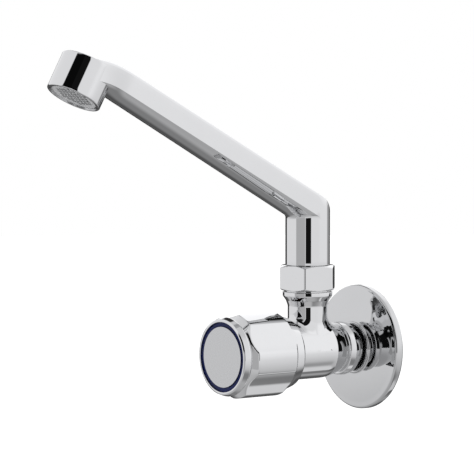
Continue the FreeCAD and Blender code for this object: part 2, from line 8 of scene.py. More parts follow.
import bmesh
import bpy
import numpy as np
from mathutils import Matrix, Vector


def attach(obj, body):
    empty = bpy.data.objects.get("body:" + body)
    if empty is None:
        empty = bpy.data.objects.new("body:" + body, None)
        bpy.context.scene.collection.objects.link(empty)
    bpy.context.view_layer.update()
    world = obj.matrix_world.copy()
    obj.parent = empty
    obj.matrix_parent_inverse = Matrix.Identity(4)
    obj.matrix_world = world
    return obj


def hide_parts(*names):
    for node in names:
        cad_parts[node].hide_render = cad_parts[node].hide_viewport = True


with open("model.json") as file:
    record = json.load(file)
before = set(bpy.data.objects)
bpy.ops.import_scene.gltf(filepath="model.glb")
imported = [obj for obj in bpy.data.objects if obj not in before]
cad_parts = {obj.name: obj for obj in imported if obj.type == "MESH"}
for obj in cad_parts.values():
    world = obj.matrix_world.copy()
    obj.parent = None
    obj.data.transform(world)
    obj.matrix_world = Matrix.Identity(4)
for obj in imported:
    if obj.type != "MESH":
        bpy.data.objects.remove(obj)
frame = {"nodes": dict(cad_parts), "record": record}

LOG = logging.getLogger("tap")
MM = 0.001
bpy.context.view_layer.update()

Array = np.ndarray
Key = str | int
Node = bpy.types.Node
Pair = tuple[float, float]
Thing = bpy.types.Object
Tree = bpy.types.NodeTree
Triple = tuple[float, float, float]
Patch = tuple[Array, bool]


# Geometry tools

@dataclass(frozen=True)
class Axis:
    """A line that pieces are turned round, with a side direction to measure angles from."""

    base: Triple
    along: Triple
    side: Triple

    def points(self, along: Array, radius: Array, angle: Array) -> Array:
        """Gives points as base + along * axis + radius * (cos(angle) * side + sin(angle) * across).

        Args:
            along: distances along the axis in millimetres.
            radius: distances from the axis in millimetres.
            angle: turns from the side direction in radians.

        Returns:
            An array of positions with a last dimension of three.
        """
        axis = np.array(self.along)
        side = np.array(self.side)
        across = np.cross(axis, side)
        swing = np.cos(angle)[..., None] * side + np.sin(angle)[..., None] * across
        return np.array(self.base) + along[..., None] * axis + radius[..., None] * swing


def soft_profile(corners: list[Triple], steps: int = 7) -> Array:
    """Rounds a polyline: each corner becomes an arc that is tangent to its two sides.

    Args:
        corners: (along, radius, round) of each corner; a round of zero keeps the corner sharp.
        steps: points on each arc.

    Returns:
        An array of (along, radius) points.
    """
    spots = np.array([corner[:2] for corner in corners], float)
    parts = [spots[:1]]
    for index in range(1, len(spots) - 1):
        size = corners[index][2]
        before = spots[index - 1] - spots[index]
        after = spots[index + 1] - spots[index]
        before_unit = before / np.linalg.norm(before)
        after_unit = after / np.linalg.norm(after)
        cosine = float(np.clip(before_unit @ after_unit, -1, 1))
        half = math.acos(cosine) / 2
        if size <= 0 or half > math.pi / 2 - 0.01:
            parts.append(spots[index:index + 1])
            continue
        reach = min(size / math.tan(half), 0.49 * np.linalg.norm(before), 0.49 * np.linalg.norm(after))
        size = reach * math.tan(half)
        middle = before_unit + after_unit
        centre = spots[index] + middle / np.linalg.norm(middle) * size / math.sin(half)
        start = spots[index] + before_unit * reach - centre
        end = spots[index] + after_unit * reach - centre
        first = math.atan2(start[1], start[0])
        turn = math.atan2(end[1], end[0]) - first
        turn = (turn + math.pi) % (2 * math.pi) - math.pi
        angles = first + turn * np.linspace(0, 1, steps)
        parts.append(centre + size * np.stack([np.cos(angles), np.sin(angles)], -1))
    parts.append(spots[-1:])
    return np.concatenate(parts)


def refined(profile: Array, longest: float) -> Array:
    """Adds even points to a profile's long sides.

    Args:
        profile: (along, radius) points.
        longest: the longest step to leave.

    Returns:
        The profile with its new points.
    """
    parts = [profile[:1]]
    for start, end in zip(profile[:-1], profile[1:]):
        count = max(1, math.ceil(float(np.linalg.norm(end - start)) / longest))
        share = np.linspace(0, 1, count + 1)[1:, None]
        parts.append(start + (end - start) * share)
    return np.concatenate(parts)


def full_turn(steps: int) -> Array:
    """Even angles round a full turn in radians."""
    return np.linspace(0, 2 * math.pi, steps, endpoint=False)


def turned(axis: Axis, profile: Array, steps: int = 144) -> Patch:
    """Carries an (along, radius) profile round an axis.

    Args:
        axis: the axis to turn round.
        profile: (along, radius) points.
        steps: points in a full turn.

    Returns:
        A patch that is closed round the axis.
    """
    angle = full_turn(steps)[:, None]
    along = np.broadcast_to(profile[:, 0], (steps, len(profile)))
    radius = np.broadcast_to(profile[:, 1], (steps, len(profile)))
    return axis.points(along, radius, np.broadcast_to(angle, along.shape)), True


def least_of(first: Array, second: Array, blend: float) -> Array:
    """The smaller of two values, with a parabola where they are near each other.

    Args:
        first: one value.
        second: the other.
        blend: how far apart the two may be for the parabola.

    Returns:
        The blended smaller value.
    """
    near = np.clip(0.5 + 0.5 * (second - first) / blend, 0, 1)
    return second + (first - second) * near - blend * near * (1 - near)


def enter(name: str, data: bpy.types.ID) -> Thing:
    """Puts an object with this data into the scene."""
    thing = bpy.data.objects.new(name, data)
    bpy.context.scene.collection.objects.link(thing)
    return thing


def piece(name: str, patches: list[Patch], sharp_angle: float = 32.0) -> Thing:
    """Puts grids of points into one mesh, merges what coincides and turns the faces outwards.

    Args:
        name: the object's name.
        patches: grids of points in millimetres, each with whether its last row joins its first.
        sharp_angle: edges that turn by more than this many degrees stay crisp.

    Returns:
        The new object.
    """
    points, quads, offset = [], [], 0
    for grid, closed in patches:
        rows, columns = grid.shape[:2]
        index = np.arange(rows * columns).reshape(rows, columns) + offset
        if closed:
            index = np.concatenate([index, index[:1]], 0)
        corners = [index[:-1, :-1], index[1:, :-1], index[1:, 1:], index[:-1, 1:]]
        quads.append(np.stack(corners, -1).reshape(-1, 4))
        points.append(grid.reshape(-1, 3))
        offset += rows * columns
    mesh = bpy.data.meshes.new(name)
    mesh.from_pydata((np.concatenate(points) * MM).tolist(), [], np.concatenate(quads).tolist())
    build = bmesh.new()
    build.from_mesh(mesh)
    bmesh.ops.remove_doubles(build, verts=build.verts, dist=2e-6)
    bmesh.ops.recalc_face_normals(build, faces=build.faces)
    build.to_mesh(mesh)
    build.free()
    mesh.polygons.foreach_set("use_smooth", np.ones(len(mesh.polygons), bool))
    mesh.set_sharp_from_angle(angle=math.radians(sharp_angle))
    mesh.update()
    return enter(name, mesh)


# Finishes

class Relief(Enum):
    """The fine relief of a finish."""

    FILM = "film"
    GRAIN = "grain"
    TURNED = "turned"


def add(tree: Tree, kind: str, values: dict[Key, object] | None = None, **settings: object) -> Node:
    """Adds a shader node.

    Args:
        tree: the tree that it goes in.
        kind: the node's type, less ShaderNode at its start.
        values: values of its inputs, by name or number.
        settings: its properties.

    Returns:
        The new node.
    """
    node = tree.nodes.new("ShaderNode" + kind)
    for key, value in settings.items():
        setattr(node, key, value)
    for key, value in (values or {}).items():
        node.inputs[key].default_value = value
    return node


def wire(tree: Tree, *links: tuple[Node, Key, Node, Key]) -> None:
    """Links sockets: each link names a node, its output, the next node and its input."""
    for source, out, target, into in links:
        tree.links.new(source.outputs[out], target.inputs[into])


def new_group(name: str, vectors: list[str], numbers: dict[str, float],
              results: list[str]) -> tuple[Tree, Node, Node]:
    """Makes a shader group with named sockets.

    Args:
        name: the group's name.
        vectors: the vector inputs.
        numbers: the number inputs, with their defaults.
        results: the number outputs.

    Returns:
        The group's node tree, its input node and its output node.
    """
    tree = bpy.data.node_groups.new(name, "ShaderNodeTree")
    for label in vectors:
        tree.interface.new_socket(name=label, in_out="INPUT", socket_type="NodeSocketVector")
    for label, value in numbers.items():
        socket = tree.interface.new_socket(name=label, in_out="INPUT", socket_type="NodeSocketFloat")
        socket.default_value = value
    for label in results:
        tree.interface.new_socket(name=label, in_out="OUTPUT", socket_type="NodeSocketFloat")
    return tree, tree.nodes.new("NodeGroupInput"), tree.nodes.new("NodeGroupOutput")


def film_group() -> Tree:
    """Two noises, one broad and one fine, give a thin uneven film: a 0 to 1 mask and a height.

    Returns:
        The group, with Vector and Scale in, and Mask and Height out.
    """
    tree, start, end = new_group("SurfaceFilm", ["Vector"], {"Scale": 60.0}, ["Mask", "Height"])
    broad = add(tree, "TexNoise", {"Detail": 3.0})
    fine = add(tree, "TexNoise", {"Detail": 5.0, "Roughness": 0.65})
    finer = add(tree, "Math", {1: 7.0}, operation="MULTIPLY")
    product = add(tree, "Math", operation="MULTIPLY")
    ranged = add(tree, "MapRange", {"From Min": 0.12, "From Max": 0.42})
    wire(tree, (start, "Vector", broad, "Vector"), (start, "Vector", fine, "Vector"),
         (start, "Scale", broad, "Scale"), (start, "Scale", finer, 0), (finer, 0, fine, "Scale"),
         (broad, "Fac", product, 0), (fine, "Fac", product, 1), (product, 0, ranged, "Value"),
         (ranged, "Result", end, "Mask"), (broad, "Fac", end, "Height"))
    return tree


def grain_group() -> Tree:
    """A fine pebbled skin: cells of a Voronoi texture, broken up by noise.

    Returns:
        The group, with Vector and Scale in, and Mask and Height out.
    """
    tree, start, end = new_group("MouldedGrain", ["Vector"], {"Scale": 900.0}, ["Mask", "Height"])
    cells = add(tree, "TexVoronoi")
    noise = add(tree, "TexNoise", {"Detail": 4.0})
    mixed = add(tree, "Math", {1: 0.5}, operation="MULTIPLY_ADD")
    for node in (cells, noise):
        wire(tree, (start, "Vector", node, "Vector"), (start, "Scale", node, "Scale"))
    wire(tree, (cells, "Distance", mixed, 0), (noise, "Fac", mixed, 2), (noise, "Fac", end, "Mask"),
         (mixed, 0, end, "Height"))
    return tree


def turned_group() -> Tree:
    """Lathe lines: noise over the distance from the local Z axis and the place along it.

    Returns:
        The group, with Vector and Scale in, and Mask and Height out.
    """
    tree, start, end = new_group("LatheLines", ["Vector"], {"Scale": 2500.0}, ["Mask", "Height"])
    parts = add(tree, "SeparateXYZ")
    flat = add(tree, "CombineXYZ")
    length = add(tree, "VectorMath", operation="LENGTH")
    joined = add(tree, "Math", operation="ADD")
    lines = add(tree, "TexNoise", {"Detail": 4.0, "Roughness": 0.7}, noise_dimensions="1D")
    wire(tree, (start, "Vector", parts, 0), (parts, "X", flat, "X"), (parts, "Y", flat, "Y"),
         (flat, 0, length, 0), (length, "Value", joined, 0), (parts, "Z", joined, 1), (joined, 0, lines, "W"),
         (start, "Scale", lines, "Scale"), (lines, "Fac", end, "Mask"), (lines, "Fac", end, "Height"))
    return tree


@dataclass(frozen=True)
class Finish:
    """A finish: its colour, how rough it is and its fine relief."""

    name: str
    slot: str
    color: Triple
    metallic: float
    rough: Pair
    relief: Relief
    scale: float
    depth: float
    shade: float = 0.06
    coat: float = 0.0
    coat_rough: float = 0.05
    bump: float = 0.6
    shine: float = 0.5
    centre: Triple = (0.0, 0.0, 0.0)
    turn: Triple = (0.0, 0.0, 0.0)

    def material(self, groups: dict[Relief, Tree]) -> bpy.types.Material:
        """Builds the material: the relief's mask moves colour and roughness, its height drives a bump.

        Args:
            groups: the shared relief groups.

        Returns:
            The finished material.
        """
        made = bpy.data.materials.new(self.name)
        made.use_nodes = True
        tree = made.node_tree
        shader = tree.nodes["Principled BSDF"]
        for label, value in (("Metallic", self.metallic), ("Coat Weight", self.coat),
                             ("Specular IOR Level", self.shine), ("Coat Roughness", self.coat_rough)):
            shader.inputs[label].default_value = value
        place = add(tree, "TexCoord")
        mapping = add(tree, "Mapping", {
            "Location": [value * MM for value in self.centre],
            "Rotation": [math.radians(value) for value in self.turn],
        }, vector_type="TEXTURE")
        relief = add(tree, "Group", {"Scale": self.scale}, node_tree=groups[self.relief])
        color = add(tree, "Mix", {
            "A": (*[value * (1 - self.shade) for value in self.color], 1.0),
            "B": (*self.color, 1.0),
        }, data_type="RGBA")
        rough = add(tree, "MapRange", {"To Min": self.rough[0], "To Max": self.rough[1]})
        bump = add(tree, "Bump", {"Strength": self.bump, "Distance": self.depth * MM})
        wire(tree, (place, "Object", mapping, "Vector"), (mapping, "Vector", relief, "Vector"),
             (relief, "Mask", color, "Factor"), (relief, "Mask", rough, "Value"),
             (relief, "Height", bump, "Height"), (color, "Result", shader, "Base Color"),
             (rough, "Result", shader, "Roughness"), (bump, "Normal", shader, "Normal"))
        return made


FACE_CENTRE = (0.0, -89.5, 0.0)
FACING_ROOM = (90.0, 0.0, 0.0)

FINISHES = [
    Finish("PolishedChrome", "chrome", (0.69, 0.693, 0.70), 1.0, (0.012, 0.03), Relief.FILM, 60.0, 0.02,
           shade=0.02),
    Finish("MachinedBrass", "brass", (0.78, 0.60, 0.30), 1.0, (0.18, 0.34), Relief.TURNED, 2600.0, 0.02,
           shade=0.12, turn=FACING_ROOM),
    Finish("StainlessSteel", "steel", (0.62, 0.62, 0.63), 1.0, (0.22, 0.38), Relief.TURNED, 2200.0, 0.015,
           shade=0.10, turn=FACING_ROOM),
    Finish("LappedCeramic", "ceramic", (0.88, 0.86, 0.81), 0.0, (0.10, 0.22), Relief.FILM, 90.0, 0.004,
           shade=0.05, coat=0.4),
    Finish("BlackRubber", "rubber", (0.022, 0.022, 0.024), 0.0, (0.45, 0.7), Relief.GRAIN, 1500.0, 0.02,
           shade=0.25),
    Finish("RedFibre", "fibre", (0.36, 0.07, 0.045), 0.0, (0.6, 0.85), Relief.GRAIN, 1100.0, 0.05,
           shade=0.35),
    Finish("WhiteAcetal", "white_plastic", (0.80, 0.80, 0.77), 0.0, (0.3, 0.48), Relief.GRAIN, 1300.0, 0.012,
           shade=0.08),
    Finish("GreyInsert", "grey_plastic", (0.56, 0.565, 0.57), 0.0, (0.32, 0.5), Relief.GRAIN, 1300.0, 0.012,
           shade=0.1),
    Finish("SatinDisc", "satin_disc", (0.55, 0.553, 0.56), 1.0, (0.24, 0.32), Relief.TURNED, 3000.0, 0.0005,
           shade=0.012, centre=FACE_CENTRE, turn=FACING_ROOM),
    Finish("BlueRing", "blue_ring", (0.004, 0.013, 0.105), 0.0, (0.25, 0.35), Relief.FILM, 120.0, 0.003,
           shade=0.35, shine=0.15),
]

# Painted shade: a darker copy of the polished chrome, which the flange wears so that its reflections come out
# darker.
SHADED_CHROME_COPY = Finish("ChromeCopyWithPaintedShade", "chrome", (0.585, 0.588, 0.595), 1.0, (0.015, 0.04), Relief.FILM, 60.0,
                      0.02, shade=0.02)


class Palette:
    """Builds the finishes once and hands them out by slot."""

    def __init__(self) -> None:
        """Builds the shared groups and every material."""
        groups = {Relief.FILM: film_group(), Relief.GRAIN: grain_group(), Relief.TURNED: turned_group()}
        self.by_slot = {finish.slot: finish.material(groups) for finish in FINISHES}
        # The darker chrome copy: painted shade for the flange's reflections.
        self.sheet = SHADED_CHROME_COPY.material(groups)

    def dress(self, thing: Thing, slot: str) -> None:
        """Gives an object a finish by its slot's name."""
        thing.data.materials.clear()
        thing.data.materials.append(self.by_slot[slot])

    def settle(self, thing: Thing, slot: str, body: str, *nodes: str) -> Thing:
        """Dresses a new piece, lets it ride on a body and stand for its nodes.

        Args:
            thing: the new piece.
            slot: the finish's slot.
            body: the body that carries the piece.
            nodes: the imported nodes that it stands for.

        Returns:
            The same piece.
        """
        self.dress(thing, slot)
        if nodes:
            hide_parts(*nodes)
        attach(thing, body)
        LOG.info("%s: %d faces on %s", thing.name, len(thing.data.polygons), body)
        return thing


INLET = Axis((0, 0, 0), (0, -1, 0), (0, 0, 1))
RISER_OUT = 36.0
RISER = Axis((0, -RISER_OUT, 0), (0, 0, 1), (1, 0, 0))
KNOB = Axis(FACE_CENTRE, (0, 1, 0), (1, 0, 0))


# Wall flange

@dataclass
class WallFlange:
    """The pressed cover plate on the wall."""

    radius: float = 31.0
    depth: float = 4.5
    sheet: float = 1.2
    rim_taper: float = 0.5
    rim_edge: float = 0.9
    rim_rounds: Triple = (0.2, 0.8, 1.75)
    face_inset: Pair = (1.4, 1.0)
    under_shift: Pair = (0.3, 1.5)
    dome: float = 2.2
    bow: float = 0.3
    neck_radius: float = 12.8
    neck_end: float = 8.0

    def face(self, lower: float) -> list[Triple]:
        """The domed face from the rim to the neck: a straight rise plus a parabola's bow.

        Args:
            lower: how far under the outer skin the face lies.

        Returns:
            The face's corners, for soft_profile.
        """
        outer = self.radius - self.face_inset[0] - lower * self.under_shift[0]
        inner = self.neck_radius + self.face_inset[1] - lower * self.under_shift[1]
        return [(self.depth - lower + self.dome * share + 4 * self.bow * share * (1 - share),
                 outer + (inner - outer) * share, 0) for share in np.linspace(0.08, 0.94, 14)]

    def build(self, palette: Palette) -> None:
        """Turns the sheet's closed outline round the inlet's axis."""
        inside = self.neck_radius - self.sheet
        under = self.radius - self.sheet
        floor = self.depth - self.sheet
        crest = self.depth + self.dome
        foot, edge, brow = self.rim_rounds
        outline = soft_profile([
            (0, under, 0), (0, self.radius - self.rim_taper, foot), (self.rim_edge, self.radius, edge),
            (self.depth, self.radius, brow), *self.face(0.0),
            (crest, self.neck_radius, 0.9), (self.neck_end, self.neck_radius, 0.4),
            (self.neck_end, inside, 0.3), (crest - self.sheet, inside, 0), *self.face(self.sheet)[::-1],
            (floor, under, 0.8), (0, under, 0),
        ], 9)
        patch = turned(INLET, refined(outline, 2.0), 192)
        cover = palette.settle(piece("flange_cover", [patch]), "chrome", "fixture", "wall_flange")
        # Painted shade: the flange wears the darker copy of the chrome.
        cover.data.materials[0] = palette.sheet


# Body casting

@dataclass
class BodyCasting:
    """The tee casting with its threaded tail, collar, barrel and flared neck."""

    tail_length: float = 16.0
    tail_radius: float = 10.48
    thread_pitch: float = 1.814
    thread_depth: float = 1.16
    thread_gain: float = 2.6
    thread_trim: float = 0.15
    thread_fade: float = 2.5
    tail_bevel: Pair = (0.9, 0.5)
    tail_neck_radius: float = 10.2
    undercut: Pair = (0.1, 0.9)
    sink: float = 0.02
    bore_radius: float = 6.5
    bore_end: float = 32.5
    collar: Triple = (12.2, 18.4, 13.2)
    collar_rounds: Pair = (0.7, 2.6)
    shank_radius: float = 11.0
    barrel: Triple = (31.0, 53.0, 13.9)
    bulb_start: float = 17.2
    crown: float = 0.35
    chamber_radius: float = 10.3
    neck_radius: float = 9.8
    neck_start: float = 9.0
    neck_root: float = 4.6
    wall_root: float = 2.6
    bell: tuple[Pair, ...] = ((22.5, 9.8), (25.1, 10.7), (27.4, 12.3))
    neck_ring_end: float = 29.5
    neck_ring_radius: float = 12.3
    neck_thread_radius: float = 11.0
    neck_top: float = 35.0
    plug_hole: float = 7.48
    plug_floor: float = 18.0

    def thread(self) -> Patch:
        """The tail's thread: its radius is a triangle wave of along / pitch - angle / turn."""
        along = np.linspace(-self.tail_length + self.tail_bevel[0], 0, 100)
        angle = full_turn(120)
        place, turn = np.meshgrid(along, angle)
        phase = (place / self.thread_pitch - turn / (2 * math.pi)) % 1.0
        wave = np.clip(np.abs(phase - 0.5) * self.thread_gain - self.thread_trim, 0, 1)
        fade = np.clip((place + self.tail_length) / self.thread_fade, 0, 1)
        radius = self.tail_radius - self.sink - self.thread_depth * (1 - wave * fade)
        radius[:, -1] = self.tail_neck_radius - self.undercut[1]
        return INLET.points(place, radius, turn), True

    def bar(self) -> list[Patch]:
        """The bored bar from the tail to the barrel's mouth."""
        core = self.tail_radius - self.thread_depth
        front = self.chamber_radius
        start, end, wide = self.collar
        edge, middle = self.collar_rounds
        barrel_start, barrel_end, barrel_radius = self.barrel
        tail = soft_profile([
            (self.bore_end, self.bore_radius, 0), (-self.tail_length, self.bore_radius, 0.5),
            (-self.tail_length, core - self.tail_bevel[1], 0.3),
            (-self.tail_length + self.tail_bevel[0], core, 0),
        ])
        outside = soft_profile([
            (0, self.tail_neck_radius - self.undercut[1], 0), (self.undercut[0], self.tail_neck_radius, 0),
            (start, self.tail_neck_radius, 0.5), (start, wide - self.crown, edge),
            ((start + end) / 2, wide + self.crown / 2, middle), (end, wide - self.crown, edge),
            *((out, float(self.bar_radius(out)), 0) for out in np.linspace(end, barrel_start, 16)),
            (barrel_end, barrel_radius, 0.5),
            (barrel_end, front, 0.2), (self.bore_end, front, 0), (self.bore_end, self.bore_radius, 0),
        ], 9)
        return [turned(INLET, refined(tail, 4.0)), turned(INLET, refined(outside, 2.0), 192)]

    def bar_radius(self, out: Array) -> Array:
        """The bar's radius: it swells from shank to barrel by a quarter of a sine.

        Args:
            out: distances from the wall.

        Returns:
            The radius at each distance.
        """
        barrel_start, _, wide = self.barrel
        share = np.clip((out - self.bulb_start) / (barrel_start - self.bulb_start), 0, 1)
        return self.shank_radius + (wide - self.shank_radius) * np.sin(math.pi / 2 * share)

    def root(self) -> Patch:
        """The soft root of the neck: a parabola from the neck's side, past the corner, to the bar's top.

        The corner's height at angle a is sqrt(R^2 - x^2), where x is the neck's radius times cos(a) and R is
        the bar's radius there. The curve starts that far up plus the root's size, and ends the root's size
        further out. The root grows towards the wall by the square of sin(a).
        """
        angle = full_turn(192)
        inner = np.full_like(angle, self.neck_radius)
        size = self.neck_root + self.wall_root * np.maximum(np.sin(angle), 0) ** 2
        outer = inner + size

        def height(radius: Array) -> Array:
            """The bar's top under a point of the neck's plan."""
            x = radius * np.cos(angle)
            out = RISER_OUT - radius * np.sin(angle)
            return np.sqrt(np.maximum(self.bar_radius(out) ** 2 - x ** 2, 1.0))

        corner = height(inner)
        share = np.linspace(0, 1, 15)[None, :]
        weights = ((1 - share) ** 2, 2 * share * (1 - share), share ** 2)
        foot = height(outer) - self.sink
        radius, level = (
            weights[0] * high[:, None] + weights[1] * bend[:, None] + weights[2] * low[:, None]
            for high, bend, low in ((inner, inner, outer), (corner + size, corner, foot)))
        return RISER.points(level, radius, np.broadcast_to(angle[:, None], level.shape)), True

    def neck(self) -> Patch:
        """The neck: plain, flared like a bell to its lip, then the nut's thread and the plug's hole."""
        start, middle, end = self.bell
        outline = soft_profile([
            (self.neck_start, self.neck_radius, 0), (*start, 2.4), (*middle, 1.2), (*end, 1.0),
            (self.neck_ring_end, self.neck_ring_radius, 0.35),
            (self.neck_ring_end, self.neck_thread_radius, 0.1), (self.neck_top, self.neck_thread_radius, 0.5),
            (self.neck_top, self.plug_hole, 0.2), (self.plug_floor, self.plug_hole, 0),
        ], 12)
        return turned(RISER, refined(outline, 1.5), 160)

    def build(self, palette: Palette) -> None:
        """Builds the casting and dresses it."""
        patches = self.bar() + [self.thread(), self.root(), self.neck()]
        palette.settle(piece("body_casting", patches), "chrome", "fixture", "valve_body")


# Swivel nut

@dataclass
class SwivelNut:
    """The hexagon nut under the riser."""

    flats: float = 26.0
    corner_radius: float = 14.9
    bottom: float = 30.2
    height: float = 12.3
    chamfer: float = 1.0
    chamfer_inset: float = 0.3
    chamfer_blend: float = 0.25
    corner_blend: float = 0.35
    fine_rows: Pair = (2.2, 2.6)
    bore: float = 11.05
    web_bore: float = 9.05
    web: float = 3.8
    corner_turn: float = -43.0

    def build(self, palette: Palette) -> None:
        """The side's radius is the least of the flat's distance, the corner circle and the chamfer's cone.

        A flat's distance at angle a from its middle is half the size across flats over cos(a).
        """
        top = self.bottom + self.height
        inner = self.flats / 2 - self.chamfer_inset
        fine, coarse = self.fine_rows
        ramp = np.linspace(0, 1, 12)
        level = np.concatenate([
            self.bottom + fine * ramp, np.linspace(self.bottom + coarse, top - coarse, 8),
            top - fine * ramp[::-1],
        ])
        angle = full_turn(432)
        place, turn = np.meshgrid(level, angle)
        away = (turn - math.radians(self.corner_turn)) % (math.pi / 3) - math.pi / 6
        side = self.flats / 2 / np.cos(away)
        slope = (self.corner_radius - inner) / self.chamfer
        edge = np.minimum(place - self.bottom, top - place)
        radius = least_of(side, np.full_like(side, self.corner_radius), self.corner_blend)
        radius = least_of(radius, inner + slope * edge, self.chamfer_blend)
        sides = RISER.points(place, radius, turn)
        patches = [(sides, True)]
        for row, rim, hole in ((-1, top, self.web_bore), (0, self.bottom, self.bore)):
            inner_edge = RISER.points(np.full_like(angle, rim), np.full_like(angle, hole), angle)
            patches.append((np.stack([sides[:, row], inner_edge], 1), True))
        inside = soft_profile([(self.bottom, self.bore, 0), (top - self.web, self.bore, 0.3),
                               (top - self.web, self.web_bore, 0), (top, self.web_bore, 0)])
        patches.append(turned(RISER, inside, 432))
        palette.settle(piece("hexagon_nut", patches, 40.0), "chrome", "fixture", "swivel_nut")


# Spout

@dataclass
class Spout:
    """The riser, the arm with flat sides and a curved underside, and the round nozzle.

    Sizes along the arm start where its top line meets the riser's axis.
    """

    radius: float = 11.0
    foot: float = 42.7
    plug_end: float = 19.0
    plug_radius: float = 7.43
    spigot_radius: float = 9.0
    spigot_foot: float = 35.2
    plain_end: float = 58.0
    angle: float = 28.3
    top: float = 77.8
    side: float = 10.2
    root_height: float = 15.0
    tip_height: float = 13.6
    corner: float = 1.6
    outer_bend: float = 6.5
    inner_bend: float = 2.2
    riser_steps: int = 8
    bend_start: float = 127.0
    bend_radius: float = 72.0
    reach: float = 153.1
    flare_end: float = 147.5
    end_width: float = 13.36
    mouth_out: float = 176.8
    mouth_height: float = 127.3
    tilt: float = 29.5
    nozzle_radius: float = 13.4
    nozzle_length: float = 18.45
    nozzle_round: float = 0.4
    lip_rounds: Pair = (0.15, 0.45)
    seat_bore: float = 9.5
    plug_bore: float = 5.0
    mouth_bore: float = 12.2
    mouth_depth: float = 10.9

    def placed(self, x: Array, up: Array, along: Array) -> Array:
        """Places arm coordinates: past the bend's start, the arm follows a circle below it and grows wider.

        Beyond the nozzle's axis by d, the half width keeps under sqrt(w^2 - d^2), so the sides run into the
        nozzle.

        Args:
            x: sideways places.
            up: heights from the arm's top line.
            along: distances along the arm.

        Returns:
            An array of positions with a last dimension of three.
        """
        slope = math.radians(self.angle)
        share = np.clip((along - self.bend_start) / (self.flare_end - self.bend_start), 0, 1)
        wide = x * (1 + (self.end_width / self.radius - 1) * share ** 2 * (3 - 2 * share))
        over = np.maximum(along - self.bend_start, 0) / self.bend_radius
        far = np.where(over > 0, self.bend_start + (self.bend_radius + up) * np.sin(over), along)
        rise = np.where(over > 0, (self.bend_radius + up) * np.cos(over) - self.bend_radius, up)
        y = -RISER_OUT - far * math.cos(slope) + rise * math.sin(slope)
        z = self.top + far * math.sin(slope) + rise * math.cos(slope)
        lean = math.radians(self.tilt)
        beyond = (z - self.mouth_height) * math.sin(lean) - (y + self.mouth_out) * math.cos(lean)
        inside = np.sqrt(np.maximum(self.end_width ** 2 - np.maximum(beyond, 0) ** 2, 1.0))
        return np.stack([np.clip(wide, -inside, inside), y, z], -1)

    def lowered(self, belly: Array, along: Array) -> Array:
        """How much less deep the underside is towards the tip.

        Args:
            belly: how much a line follows the underside's taper, 0 to 1.
            along: distances along the arm.

        Returns:
            The rise at each distance.
        """
        share = np.clip(along / self.bend_start, 0, 1)
        return belly * (self.root_height - self.tip_height) * share

    def lines(self, x: Array, y: Array, up: Array, bend: float, belly: Array) -> Array:
        """Carries points of the section up the riser, round the elbow and out along the arm.

        In the plane of each x, the path goes straight up to the mitre less a tangent's length, turns on a
        circle from upright to the arm's slope, and goes on along the arm.

        Args:
            x: sideways places of the lines.
            y: the lines' places on the riser's circle, towards the wall.
            up: the lines' heights in the arm's section, from its top.
            bend: the turning circle's radius.
            belly: how much each line follows the underside's taper, 0 to 1.

        Returns:
            A grid of points, one row for each line.
        """
        slope = math.radians(self.angle)
        turn = math.pi / 2 - slope
        tangent = bend * math.tan(turn / 2)
        mitre = self.top + up / math.cos(slope) - y * math.tan(slope)
        share = np.linspace(0, 1, self.riser_steps)[None, :]
        low = np.full_like(x, self.plain_end)[:, None]
        rise = low + (mitre - tangent)[:, None] * share - low * share
        straight = np.stack([np.broadcast_to(x[:, None], rise.shape),
                             np.broadcast_to((y - RISER_OUT)[:, None], rise.shape), rise], -1)
        sweep = np.linspace(0, turn, 18)[None, 1:-1]
        arc_y = (y - RISER_OUT)[:, None] - bend * (1 - np.cos(sweep))
        arc_z = (mitre - tangent)[:, None] + bend * np.sin(sweep)
        arc = np.stack([np.broadcast_to(x[:, None], arc_y.shape), arc_y, arc_z], -1)
        first = -y * math.cos(slope) + (mitre - self.top) * math.sin(slope) + tangent
        share = np.concatenate([np.linspace(0, 0.82, 40), np.linspace(0.83, 1, 28)])[None, :]
        along = first[:, None] + (self.reach - first)[:, None] * share
        depth = up[:, None] + self.lowered(belly[:, None], along)
        arm = self.placed(np.broadcast_to(x[:, None], along.shape), depth, along)
        return np.concatenate([straight, arc, arm], 1)

    def shell(self) -> list[Patch]:
        """The arm's skin: a top with rounded corners, a curved underside and two flat sides."""
        sweep = np.linspace(-math.pi / 2, math.pi / 2, 97)
        x = self.radius * np.sin(sweep)
        y = self.radius * np.cos(sweep)
        past = np.clip(np.abs(x) - (self.radius - self.corner), 0, self.corner)
        top = np.sqrt(self.corner ** 2 - past ** 2) - self.corner
        back = self.lines(x, y, top, self.outer_bend, np.zeros_like(x))
        sag = self.root_height - self.side
        circle = (self.radius ** 2 + sag ** 2) / (2 * sag)
        curve = np.sqrt(circle ** 2 - x ** 2) - (circle - sag)
        front = self.lines(x, -y, -self.side - curve, self.inner_bend, curve / sag)
        patches = [(back, False), (front, False)]
        for row in (0, -1):
            share = np.linspace(0, 1, 5)[:, None]
            upper, lower = back[row], front[row]
            first = self.riser_steps
            patches += [(upper[first:, None] * (1 - share) + lower[first:, None] * share, False),
                        (np.stack([upper[:first + 1], lower[:first + 1]], 1), False)]
        return patches

    def nozzle(self) -> Axis:
        """The nozzle's axis, from the middle of its mouth upwards."""
        lean = math.radians(self.tilt)
        return Axis((0, -self.mouth_out, self.mouth_height), (0, math.sin(lean), math.cos(lean)), (1, 0, 0))

    def head(self) -> Patch:
        """The nozzle's cup with a rounded top, a fine lip and the hole for the insert."""
        wide, long = self.nozzle_radius, self.nozzle_length
        inner, outer = self.lip_rounds
        outline = soft_profile([
            (self.mouth_depth, self.seat_bore, 0), (self.mouth_depth, self.mouth_bore, 0),
            (0, self.mouth_bore, inner), (0, wide, outer), (long, wide, self.nozzle_round), (long, 0, 0),
        ], 9)
        return turned(self.nozzle(), refined(outline, 1.5), 192)

